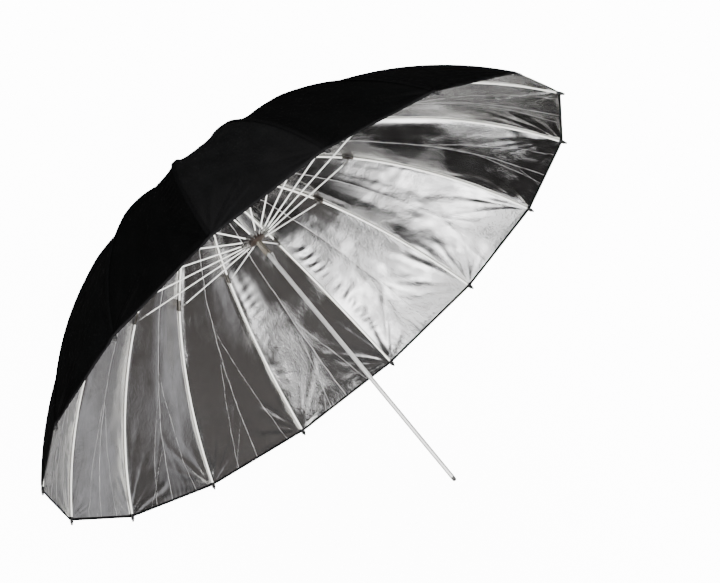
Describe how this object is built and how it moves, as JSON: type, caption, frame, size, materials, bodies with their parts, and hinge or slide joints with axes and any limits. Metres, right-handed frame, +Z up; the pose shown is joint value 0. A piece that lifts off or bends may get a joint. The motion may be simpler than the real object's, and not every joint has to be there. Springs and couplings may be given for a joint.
{
  "type": "umbrella reflector",
  "caption": "Large folding studio umbrella reflector with a black cover, silver lining, white ribs and stretchers, a sliding runner with a spring catch, and a plain shaft for a lamp bracket.",
  "frame": {"origin": "on the shaft's axis, 150 mm in from the rounded end of the shaft, where a lamp bracket grips it", "axes": "+Y runs along the shaft from the handle end to the crown, -Y is the way the bowl opens and the shaft leaves a bracket, +Z is up, with one rib straight up and one straight along +X"},
  "size_m": [1.5036, 0.9742, 1.5036],
  "materials": {
    "shaft_steel": "polished plated steel",
    "fitting_steel": "plain drawn wire",
    "runner_steel": "dull plated tube",
    "black_plastic": "moulded",
    "brown_plastic": "moulded",
    "white_fibreglass": "smooth pultruded rod, with dark steel sleeves and dark tip caps",
    "white_stretcher": "smooth white rod with bright metal end fittings",
    "black_nylon_silver_lined": "matt black nylon outside, crinkled silver metallic foil inside",
    "black_tape": "folded woven hem"
  },
  "bodies": {
    "shaft": {"shaft_tube": "shaft_steel", "shaft_end_plug": "black_plastic", "crown_notch": "black_plastic", "crown_wire": "fitting_steel", "ferrule_cap": "shaft_steel", "fabric_washer": "black_plastic", "canopy": "black_nylon_silver_lined", "rim_binding": "black_tape"},
    "catch": {"catch_spring": "fitting_steel"},
    "runner": {"runner_gallery": "brown_plastic", "runner_sleeve": "runner_steel", "runner_wire": "fitting_steel"},
    "rib_01": {"rib_01": "white_fibreglass"},
    "rib_end_01": {"rib_end_01": "white_fibreglass"},
    "stretcher_01": {"stretcher_01": "white_stretcher"},
    "rib_02": {"rib_02": "white_fibreglass"},
    "rib_end_02": {"rib_end_02": "white_fibreglass"},
    "stretcher_02": {"stretcher_02": "white_stretcher"},
    "rib_03": {"rib_03": "white_fibreglass"},
    "rib_end_03": {"rib_end_03": "white_fibreglass"},
    "stretcher_03": {"stretcher_03": "white_stretcher"},
    "rib_04": {"rib_04": "white_fibreglass"},
    "rib_end_04": {"rib_end_04": "white_fibreglass"},
    "stretcher_04": {"stretcher_04": "white_stretcher"},
    "rib_05": {"rib_05": "white_fibreglass"},
    "rib_end_05": {"rib_end_05": "white_fibreglass"},
    "stretcher_05": {"stretcher_05": "white_stretcher"},
    "rib_06": {"rib_06": "white_fibreglass"},
    "rib_end_06": {"rib_end_06": "white_fibreglass"},
    "stretcher_06": {"stretcher_06": "white_stretcher"},
    "rib_07": {"rib_07": "white_fibreglass"},
    "rib_end_07": {"rib_end_07": "white_fibreglass"},
    "stretcher_07": {"stretcher_07": "white_stretcher"},
    "rib_08": {"rib_08": "white_fibreglass"},
    "rib_end_08": {"rib_end_08": "white_fibreglass"},
    "stretcher_08": {"stretcher_08": "white_stretcher"},
    "rib_09": {"rib_09": "white_fibreglass"},
    "rib_end_09": {"rib_end_09": "white_fibreglass"},
    "stretcher_09": {"stretcher_09": "white_stretcher"},
    "rib_10": {"rib_10": "white_fibreglass"},
    "rib_end_10": {"rib_end_10": "white_fibreglass"},
    "stretcher_10": {"stretcher_10": "white_stretcher"},
    "rib_11": {"rib_11": "white_fibreglass"},
    "rib_end_11": {"rib_end_11": "white_fibreglass"},
    "stretcher_11": {"stretcher_11": "white_stretcher"},
    "rib_12": {"rib_12": "white_fibreglass"},
    "rib_end_12": {"rib_end_12": "white_fibreglass"},
    "stretcher_12": {"stretcher_12": "white_stretcher"},
    "rib_13": {"rib_13": "white_fibreglass"},
    "rib_end_13": {"rib_end_13": "white_fibreglass"},
    "stretcher_13": {"stretcher_13": "white_stretcher"},
    "rib_14": {"rib_14": "white_fibreglass"},
    "rib_end_14": {"rib_end_14": "white_fibreglass"},
    "stretcher_14": {"stretcher_14": "white_stretcher"},
    "rib_15": {"rib_15": "white_fibreglass"},
    "rib_end_15": {"rib_end_15": "white_fibreglass"},
    "stretcher_15": {"stretcher_15": "white_stretcher"},
    "rib_16": {"rib_16": "white_fibreglass"},
    "rib_end_16": {"rib_end_16": "white_fibreglass"},
    "stretcher_16": {"stretcher_16": "white_stretcher"}
  },
  "joints": [
    {"name": "rib_01_fold", "type": "hinge", "parent": "shaft", "child": "rib_01", "pos_m": [0.015, 0.79, 0], "axis": [0, 0, -1], "range_deg": [0, 73.2], "deforming": ["canopy", "rim_binding", "catch_spring"]},
    {"name": "rib_02_fold", "type": "hinge", "parent": "shaft", "child": "rib_02", "pos_m": [0.01386, 0.79, 0.00574], "axis": [0.3827, 0, -0.9239], "range_deg": [0, 73.2]},
    {"name": "rib_03_fold", "type": "hinge", "parent": "shaft", "child": "rib_03", "pos_m": [0.01061, 0.79, 0.01061], "axis": [0.7071, 0, -0.7071], "range_deg": [0, 73.2]},
    {"name": "rib_04_fold", "type": "hinge", "parent": "shaft", "child": "rib_04", "pos_m": [0.00574, 0.79, 0.01386], "axis": [0.9239, 0, -0.3827], "range_deg": [0, 73.2]},
    {"name": "rib_05_fold", "type": "hinge", "parent": "shaft", "child": "rib_05", "pos_m": [0, 0.79, 0.015], "axis": [1, 0, 0], "range_deg": [0, 73.2]},
    {"name": "rib_06_fold", "type": "hinge", "parent": "shaft", "child": "rib_06", "pos_m": [-0.00574, 0.79, 0.01386], "axis": [0.9239, 0, 0.3827], "range_deg": [0, 73.2]},
    {"name": "rib_07_fold", "type": "hinge", "parent": "shaft", "child": "rib_07", "pos_m": [-0.01061, 0.79, 0.01061], "axis": [0.7071, 0, 0.7071], "range_deg": [0, 73.2]},
    {"name": "rib_08_fold", "type": "hinge", "parent": "shaft", "child": "rib_08", "pos_m": [-0.01386, 0.79, 0.00574], "axis": [0.3827, 0, 0.9239], "range_deg": [0, 73.2]},
    {"name": "rib_09_fold", "type": "hinge", "parent": "shaft", "child": "rib_09", "pos_m": [-0.015, 0.79, 0], "axis": [0, 0, 1], "range_deg": [0, 73.2]},
    {"name": "rib_10_fold", "type": "hinge", "parent": "shaft", "child": "rib_10", "pos_m": [-0.01386, 0.79, -0.00574], "axis": [-0.3827, 0, 0.9239], "range_deg": [0, 73.2]},
    {"name": "rib_11_fold", "type": "hinge", "parent": "shaft", "child": "rib_11", "pos_m": [-0.01061, 0.79, -0.01061], "axis": [-0.7071, 0, 0.7071], "range_deg": [0, 73.2]},
    {"name": "rib_12_fold", "type": "hinge", "parent": "shaft", "child": "rib_12", "pos_m": [-0.00574, 0.79, -0.01386], "axis": [-0.9239, 0, 0.3827], "range_deg": [0, 73.2]},
    {"name": "rib_13_fold", "type": "hinge", "parent": "shaft", "child": "rib_13", "pos_m": [0, 0.79, -0.015], "axis": [-1, 0, 0], "range_deg": [0, 73.2]},
    {"name": "rib_14_fold", "type": "hinge", "parent": "shaft", "child": "rib_14", "pos_m": [0.00574, 0.79, -0.01386], "axis": [-0.9239, 0, -0.3827], "range_deg": [0, 73.2]},
    {"name": "rib_15_fold", "type": "hinge", "parent": "shaft", "child": "rib_15", "pos_m": [0.01061, 0.79, -0.01061], "axis": [-0.7071, 0, -0.7071], "range_deg": [0, 73.2]},
    {"name": "rib_16_fold", "type": "hinge", "parent": "shaft", "child": "rib_16", "pos_m": [0.01386, 0.79, -0.00574], "axis": [-0.3827, 0, -0.9239], "range_deg": [0, 73.2]},
    {"name": "stretcher_01_pivot", "type": "hinge", "parent": "rib_01", "child": "stretcher_01", "pos_m": [0.3825, 0.6895, 0], "axis": [0, 0, -1], "range_deg": [-146.41, 0]},
    {"name": "stretcher_02_pivot", "type": "hinge", "parent": "rib_02", "child": "stretcher_02", "pos_m": [0.35338, 0.6895, 0.14638], "axis": [0.3827, 0, -0.9239], "range_deg": [-146.41, 0]},
    {"name": "stretcher_03_pivot", "type": "hinge", "parent": "rib_03", "child": "stretcher_03", "pos_m": [0.27047, 0.6895, 0.27047], "axis": [0.7071, 0, -0.7071], "range_deg": [-146.41, 0]},
    {"name": "stretcher_04_pivot", "type": "hinge", "parent": "rib_04", "child": "stretcher_04", "pos_m": [0.14638, 0.6895, 0.35338], "axis": [0.9239, 0, -0.3827], "range_deg": [-146.41, 0]},
    {"name": "stretcher_05_pivot", "type": "hinge", "parent": "rib_05", "child": "stretcher_05", "pos_m": [0, 0.6895, 0.3825], "axis": [1, 0, 0], "range_deg": [-146.41, 0]},
    {"name": "stretcher_06_pivot", "type": "hinge", "parent": "rib_06", "child": "stretcher_06", "pos_m": [-0.14638, 0.6895, 0.35338], "axis": [0.9239, 0, 0.3827], "range_deg": [-146.41, 0]},
    {"name": "stretcher_07_pivot", "type": "hinge", "parent": "rib_07", "child": "stretcher_07", "pos_m": [-0.27047, 0.6895, 0.27047], "axis": [0.7071, 0, 0.7071], "range_deg": [-146.41, 0]},
    {"name": "stretcher_08_pivot", "type": "hinge", "parent": "rib_08", "child": "stretcher_08", "pos_m": [-0.35338, 0.6895, 0.14638], "axis": [0.3827, 0, 0.9239], "range_deg": [-146.41, 0]},
    {"name": "stretcher_09_pivot", "type": "hinge", "parent": "rib_09", "child": "stretcher_09", "pos_m": [-0.3825, 0.6895, 0], "axis": [0, 0, 1], "range_deg": [-146.41, 0]},
    {"name": "stretcher_10_pivot", "type": "hinge", "parent": "rib_10", "child": "stretcher_10", "pos_m": [-0.35338, 0.6895, -0.14638], "axis": [-0.3827, 0, 0.9239], "range_deg": [-146.41, 0]},
    {"name": "stretcher_11_pivot", "type": "hinge", "parent": "rib_11", "child": "stretcher_11", "pos_m": [-0.27047, 0.6895, -0.27047], "axis": [-0.7071, 0, 0.7071], "range_deg": [-146.41, 0]},
    {"name": "stretcher_12_pivot", "type": "hinge", "parent": "rib_12", "child": "stretcher_12", "pos_m": [-0.14638, 0.6895, -0.35338], "axis": [-0.9239, 0, 0.3827], "range_deg": [-146.41, 0]},
    {"name": "stretcher_13_pivot", "type": "hinge", "parent": "rib_13", "child": "stretcher_13", "pos_m": [0, 0.6895, -0.3825], "axis": [-1, 0, 0], "range_deg": [-146.41, 0]},
    {"name": "stretcher_14_pivot", "type": "hinge", "parent": "rib_14", "child": "stretcher_14", "pos_m": [0.14638, 0.6895, -0.35338], "axis": [-0.9239, 0, -0.3827], "range_deg": [-146.41, 0]},
    {"name": "stretcher_15_pivot", "type": "hinge", "parent": "rib_15", "child": "stretcher_15", "pos_m": [0.27047, 0.6895, -0.27047], "axis": [-0.7071, 0, -0.7071], "range_deg": [-146.41, 0]},
    {"name": "stretcher_16_pivot", "type": "hinge", "parent": "rib_16", "child": "stretcher_16", "pos_m": [0.35338, 0.6895, -0.14638], "axis": [-0.3827, 0, -0.9239], "range_deg": [-146.41, 0]},
    {"name": "runner_pivot", "type": "hinge", "parent": "stretcher_01", "child": "runner", "pos_m": [0.015, 0.589, 0], "axis": [0, 0, -1], "range_deg": [0, 73.2]},
    {"name": "rib_end_01_flex", "type": "hinge", "parent": "rib_01", "child": "rib_end_01", "pos_m": [0.40245, 0.68944, 0], "axis": [0, 0, -1], "range_deg": [-25.77, 0]},
    {"name": "rib_end_02_flex", "type": "hinge", "parent": "rib_02", "child": "rib_end_02", "pos_m": [0.37181, 0.68944, 0.15401], "axis": [0.3827, 0, -0.9239], "range_deg": [-25.77, 0]},
    {"name": "rib_end_03_flex", "type": "hinge", "parent": "rib_03", "child": "rib_end_03", "pos_m": [0.28457, 0.68944, 0.28457], "axis": [0.7071, 0, -0.7071], "range_deg": [-25.77, 0]},
    {"name": "rib_end_04_flex", "type": "hinge", "parent": "rib_04", "child": "rib_end_04", "pos_m": [0.15401, 0.68944, 0.37181], "axis": [0.9239, 0, -0.3827], "range_deg": [-25.77, 0]},
    {"name": "rib_end_05_flex", "type": "hinge", "parent": "rib_05", "child": "rib_end_05", "pos_m": [0, 0.68944, 0.40245], "axis": [1, 0, 0], "range_deg": [-25.77, 0]},
    {"name": "rib_end_06_flex", "type": "hinge", "parent": "rib_06", "child": "rib_end_06", "pos_m": [-0.15401, 0.68944, 0.37181], "axis": [0.9239, 0, 0.3827], "range_deg": [-25.77, 0]},
    {"name": "rib_end_07_flex", "type": "hinge", "parent": "rib_07", "child": "rib_end_07", "pos_m": [-0.28457, 0.68944, 0.28457], "axis": [0.7071, 0, 0.7071], "range_deg": [-25.77, 0]},
    {"name": "rib_end_08_flex", "type": "hinge", "parent": "rib_08", "child": "rib_end_08", "pos_m": [-0.37181, 0.68944, 0.15401], "axis": [0.3827, 0, 0.9239], "range_deg": [-25.77, 0]},
    {"name": "rib_end_09_flex", "type": "hinge", "parent": "rib_09", "child": "rib_end_09", "pos_m": [-0.40245, 0.68944, 0], "axis": [0, 0, 1], "range_deg": [-25.77, 0]},
    {"name": "rib_end_10_flex", "type": "hinge", "parent": "rib_10", "child": "rib_end_10", "pos_m": [-0.37181, 0.68944, -0.15401], "axis": [-0.3827, 0, 0.9239], "range_deg": [-25.77, 0]},
    {"name": "rib_end_11_flex", "type": "hinge", "parent": "rib_11", "child": "rib_end_11", "pos_m": [-0.28457, 0.68944, -0.28457], "axis": [-0.7071, 0, 0.7071], "range_deg": [-25.77, 0]},
    {"name": "rib_end_12_flex", "type": "hinge", "parent": "rib_12", "child": "rib_end_12", "pos_m": [-0.15401, 0.68944, -0.37181], "axis": [-0.9239, 0, 0.3827], "range_deg": [-25.77, 0]},
    {"name": "rib_end_13_flex", "type": "hinge", "parent": "rib_13", "child": "rib_end_13", "pos_m": [0, 0.68944, -0.40245], "axis": [-1, 0, 0], "range_deg": [-25.77, 0]},
    {"name": "rib_end_14_flex", "type": "hinge", "parent": "rib_14", "child": "rib_end_14", "pos_m": [0.15401, 0.68944, -0.37181], "axis": [-0.9239, 0, -0.3827], "range_deg": [-25.77, 0]},
    {"name": "rib_end_15_flex", "type": "hinge", "parent": "rib_15", "child": "rib_end_15", "pos_m": [0.28457, 0.68944, -0.28457], "axis": [-0.7071, 0, -0.7071], "range_deg": [-25.77, 0]},
    {"name": "rib_end_16_flex", "type": "hinge", "parent": "rib_16", "child": "rib_end_16", "pos_m": [0.37181, 0.68944, -0.15401], "axis": [-0.3827, 0, -0.9239], "range_deg": [-25.77, 0]},
    {"name": "catch_press", "type": "hinge", "parent": "shaft", "child": "catch", "pos_m": [0.0026, 0.4895, 0], "axis": [0, 0, 1], "range_deg": [0, 7], "stiffness_Nm_per_rad": 0.3, "springref_deg": -2.86}
  ],
  "couplings": [
    {"joint": "rib_02_fold", "follows": "rib_01_fold", "ratio": 1},
    {"joint": "rib_03_fold", "follows": "rib_01_fold", "ratio": 1},
    {"joint": "rib_04_fold", "follows": "rib_01_fold", "ratio": 1},
    {"joint": "rib_05_fold", "follows": "rib_01_fold", "ratio": 1},
    {"joint": "rib_06_fold", "follows": "rib_01_fold", "ratio": 1},
    {"joint": "rib_07_fold", "follows": "rib_01_fold", "ratio": 1},
    {"joint": "rib_08_fold", "follows": "rib_01_fold", "ratio": 1},
    {"joint": "rib_09_fold", "follows": "rib_01_fold", "ratio": 1},
    {"joint": "rib_10_fold", "follows": "rib_01_fold", "ratio": 1},
    {"joint": "rib_11_fold", "follows": "rib_01_fold", "ratio": 1},
    {"joint": "rib_12_fold", "follows": "rib_01_fold", "ratio": 1},
    {"joint": "rib_13_fold", "follows": "rib_01_fold", "ratio": 1},
    {"joint": "rib_14_fold", "follows": "rib_01_fold", "ratio": 1},
    {"joint": "rib_15_fold", "follows": "rib_01_fold", "ratio": 1},
    {"joint": "rib_16_fold", "follows": "rib_01_fold", "ratio": 1},
    {"joint": "stretcher_01_pivot", "follows": "rib_01_fold", "ratio": -2},
    {"joint": "stretcher_02_pivot", "follows": "rib_01_fold", "ratio": -2},
    {"joint": "stretcher_03_pivot", "follows": "rib_01_fold", "ratio": -2},
    {"joint": "stretcher_04_pivot", "follows": "rib_01_fold", "ratio": -2},
    {"joint": "stretcher_05_pivot", "follows": "rib_01_fold", "ratio": -2},
    {"joint": "stretcher_06_pivot", "follows": "rib_01_fold", "ratio": -2},
    {"joint": "stretcher_07_pivot", "follows": "rib_01_fold", "ratio": -2},
    {"joint": "stretcher_08_pivot", "follows": "rib_01_fold", "ratio": -2},
    {"joint": "stretcher_09_pivot", "follows": "rib_01_fold", "ratio": -2},
    {"joint": "stretcher_10_pivot", "follows": "rib_01_fold", "ratio": -2},
    {"joint": "stretcher_11_pivot", "follows": "rib_01_fold", "ratio": -2},
    {"joint": "stretcher_12_pivot", "follows": "rib_01_fold", "ratio": -2},
    {"joint": "stretcher_13_pivot", "follows": "rib_01_fold", "ratio": -2},
    {"joint": "stretcher_14_pivot", "follows": "rib_01_fold", "ratio": -2},
    {"joint": "stretcher_15_pivot", "follows": "rib_01_fold", "ratio": -2},
    {"joint": "stretcher_16_pivot", "follows": "rib_01_fold", "ratio": -2},
    {"joint": "runner_pivot", "follows": "rib_01_fold", "ratio": 1},
    {"joint": "rib_end_01_flex", "follows": "rib_01_fold", "ratio": -0.352},
    {"joint": "rib_end_02_flex", "follows": "rib_01_fold", "ratio": -0.352},
    {"joint": "rib_end_03_flex", "follows": "rib_01_fold", "ratio": -0.352},
    {"joint": "rib_end_04_flex", "follows": "rib_01_fold", "ratio": -0.352},
    {"joint": "rib_end_05_flex", "follows": "rib_01_fold", "ratio": -0.352},
    {"joint": "rib_end_06_flex", "follows": "rib_01_fold", "ratio": -0.352},
    {"joint": "rib_end_07_flex", "follows": "rib_01_fold", "ratio": -0.352},
    {"joint": "rib_end_08_flex", "follows": "rib_01_fold", "ratio": -0.352},
    {"joint": "rib_end_09_flex", "follows": "rib_01_fold", "ratio": -0.352},
    {"joint": "rib_end_10_flex", "follows": "rib_01_fold", "ratio": -0.352},
    {"joint": "rib_end_11_flex", "follows": "rib_01_fold", "ratio": -0.352},
    {"joint": "rib_end_12_flex", "follows": "rib_01_fold", "ratio": -0.352},
    {"joint": "rib_end_13_flex", "follows": "rib_01_fold", "ratio": -0.352},
    {"joint": "rib_end_14_flex", "follows": "rib_01_fold", "ratio": -0.352},
    {"joint": "rib_end_15_flex", "follows": "rib_01_fold", "ratio": -0.352},
    {"joint": "rib_end_16_flex", "follows": "rib_01_fold", "ratio": -0.352}
  ]
}
